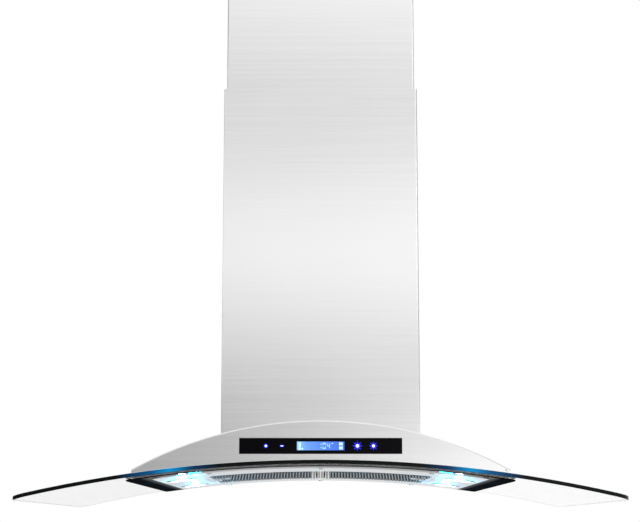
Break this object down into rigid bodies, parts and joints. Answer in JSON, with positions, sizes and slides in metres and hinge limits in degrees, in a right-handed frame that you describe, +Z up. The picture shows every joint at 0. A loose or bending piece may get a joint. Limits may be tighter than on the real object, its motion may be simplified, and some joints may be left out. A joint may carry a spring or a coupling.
{
  "type": "island range hood",
  "caption": "Ceiling-hung range hood: arched steel body on a curved glass canopy under a telescoping box chimney, with blower, lamps, touch controls and drop-down grease filters.",
  "frame": {"origin": "middle of the ceiling bracket's top face, in the ceiling plane", "axes": "+Z up out of the ceiling, -Y towards the control strip at the front, +X to the right seen from the front"},
  "size_m": [0.914, 0.6, 1.0836],
  "materials": {
    "chimney_steel": "horizontally brushed stainless sheet",
    "body_steel": "horizontally brushed stainless sheet",
    "light_panel_steel": "fine satin stainless sheet",
    "galvanised_sheet": "spangled zinc-coated sheet",
    "frame_steel": "zinc-plated folded steel",
    "fastener_zinc": "bright zinc plating",
    "canopy_glass": "clear tempered glass with polished edges",
    "control_glass_black": "black back-painted glass",
    "display_blue": "backlit display",
    "icon_blue": "backlit touch mark",
    "under_plate_black": "gloss black enamel",
    "filter_aluminium": "satin extruded aluminium",
    "filter_mesh": "expanded aluminium mesh",
    "latch_metal": "bright plated",
    "lamp_bezel": "bright plated ring",
    "lamp_lens": "frosted lens lit cool white",
    "lamp_body": "die-cast housing",
    "gasket_rubber": "closed-cell foam rubber",
    "bush_nylon": "natural nylon",
    "tray_plastic": "black moulded plastic",
    "board_green": "green laminate",
    "capacitor_white": "moulded can",
    "transformer_iron": "varnished laminations",
    "motor_aluminium": "die-cast motor case",
    "winding_copper": "enamelled copper winding",
    "shaft_steel": "ground steel",
    "wheel_aluminium": "pressed aluminium vanes",
    "flap_aluminium": "thin aluminium flap",
    "gland_nylon": "black nylon"
  },
  "bodies": {
    "ceiling_mount": {"ceiling_bracket": "frame_steel", "upper_posts": "frame_steel", "upper_chimney": "chimney_steel", "chimney_screws": "fastener_zinc"},
    "canopy": {"lower_posts": "frame_steel", "post_bolts": "fastener_zinc", "post_nuts": "fastener_zinc", "post_foot_screws": "fastener_zinc", "top_cover": "body_steel", "front_panel": "body_steel", "rear_panel": "body_steel", "blower_neck": "galvanised_sheet", "neck_gasket": "gasket_rubber", "blower_box": "galvanised_sheet", "blower_lid": "galvanised_sheet", "scroll_housing": "galvanised_sheet", "motor_case": "motor_aluminium", "motor_bracket": "frame_steel", "motor_stator": "winding_copper", "motor_bearings": "shaft_steel", "duct_collar": "galvanised_sheet", "damper_pin": "shaft_steel", "collar_screws": "fastener_zinc", "cable_gland": "gland_nylon", "control_glass": "control_glass_black", "control_tray": "tray_plastic", "lcd_module": "display_blue", "touch_icons": "icon_blue", "control_board": "board_green", "power_box": "frame_steel", "power_lid": "frame_steel", "power_board": "board_green", "power_capacitor": "capacitor_white", "power_transformer": "transformer_iron", "glass_canopy": "canopy_glass", "upper_gasket": "gasket_rubber", "lower_gasket": "gasket_rubber", "clamp_screws": "fastener_zinc", "clamp_bushes": "bush_nylon", "under_plate": "under_plate_black", "light_panel": "light_panel_steel", "panel_screws": "fastener_zinc", "plenum_box": "galvanised_sheet", "lamp_bezels": "lamp_bezel", "lamp_lenses": "lamp_lens", "lamp_housings": "lamp_body"},
    "lower_cover": {"lower_chimney": "chimney_steel"},
    "fan": {"motor_shaft": "shaft_steel", "motor_core": "transformer_iron", "fan_wheel_left": "wheel_aluminium", "fan_wheel_right": "wheel_aluminium"},
    "damper_left": {"damper_flap_left": "flap_aluminium"},
    "damper_right": {"damper_flap_right": "flap_aluminium"},
    "filter_left": {"filter_frame_left": "filter_aluminium", "filter_mesh_left": "filter_mesh"},
    "filter_right": {"filter_frame_right": "filter_aluminium", "filter_mesh_right": "filter_mesh"},
    "filter_latch_left": {"latch_left": "latch_metal"},
    "filter_latch_right": {"latch_right": "latch_metal"}
  },
  "joints": [
    {"name": "height_adjust", "type": "slide", "parent": "ceiling_mount", "child": "canopy", "axis": [0, 0, 1], "range_m": [-0.1, 0.2]},
    {"name": "cover_lift", "type": "slide", "parent": "canopy", "child": "lower_cover", "axis": [0, 0, 1], "range_m": [0, 0.12]},
    {"name": "fan_spin", "type": "hinge", "parent": "canopy", "child": "fan", "pos_m": [0, -0.034, -0.83], "axis": [1, 0, 0], "continuous": true},
    {"name": "damper_left_swing", "type": "hinge", "parent": "canopy", "child": "damper_left", "pos_m": [0, 0, -0.686], "axis": [0, 1, 0], "range_deg": [0, 75]},
    {"name": "damper_right_swing", "type": "hinge", "parent": "canopy", "child": "damper_right", "pos_m": [0, 0, -0.686], "axis": [0, -1, 0], "range_deg": [0, 75]},
    {"name": "filter_left_drop", "type": "hinge", "parent": "canopy", "child": "filter_left", "pos_m": [-0.00634, 0, -1.033], "axis": [0, -1, 0], "range_deg": [0, 60]},
    {"name": "filter_right_drop", "type": "hinge", "parent": "canopy", "child": "filter_right", "pos_m": [0.00634, 0, -1.033], "axis": [0, 1, 0], "range_deg": [0, 60]},
    {"name": "latch_left_pull", "type": "slide", "parent": "filter_left", "child": "filter_latch_left", "axis": [0.9961, 0, 0.0878], "range_m": [0, 0.006], "stiffness_N_per_m": 400, "springref_m": -0.005},
    {"name": "latch_right_pull", "type": "slide", "parent": "filter_right", "child": "filter_latch_right", "axis": [-0.9961, 0, 0.0878], "range_m": [0, 0.006], "stiffness_N_per_m": 400, "springref_m": -0.005}
  ]
}
